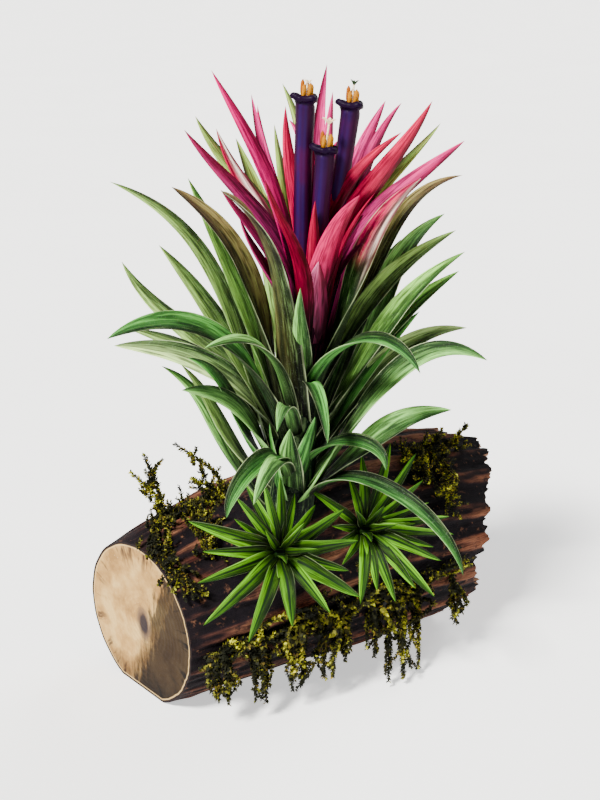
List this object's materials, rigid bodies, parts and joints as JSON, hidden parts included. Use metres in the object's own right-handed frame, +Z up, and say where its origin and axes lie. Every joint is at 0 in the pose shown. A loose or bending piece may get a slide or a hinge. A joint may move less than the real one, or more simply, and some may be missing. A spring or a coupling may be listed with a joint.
{
  "type": "sky plant in flower on a mossy log",
  "caption": "Air plant rosette with a pink heart and violet tube flowers, mounted with young offsets and moss on a short cut log that lies on a flat underside",
  "frame": {"origin": "middle of the flat strip on the underside of the log", "axes": "+Z up, out of the surface that the log lies on; -Y the side with the offsets, seen as the front; the log's broken end points to +X and back"},
  "size_m": [0.1217, 0.1108, 0.1719],
  "materials": {
    "bark": "rough",
    "green_leaf": "satin",
    "pink_leaf": "satin",
    "petal": "satin",
    "stamen": "matte",
    "young_leaf": "satin",
    "moss": "matte"
  },
  "bodies": {
    "root": {"log": "bark", "green_rosette": "green_leaf", "pink_heart": "pink_leaf", "flower_1": "petal", "stamens_1": "stamen", "flower_2": "petal", "stamens_2": "stamen", "flower_3": "petal", "stamens_3": "stamen", "front_offset": "young_leaf", "right_offset": "young_leaf", "moss_front": "moss", "moss_left": "moss", "moss_right": "moss"}
  },
  "joints": []
}
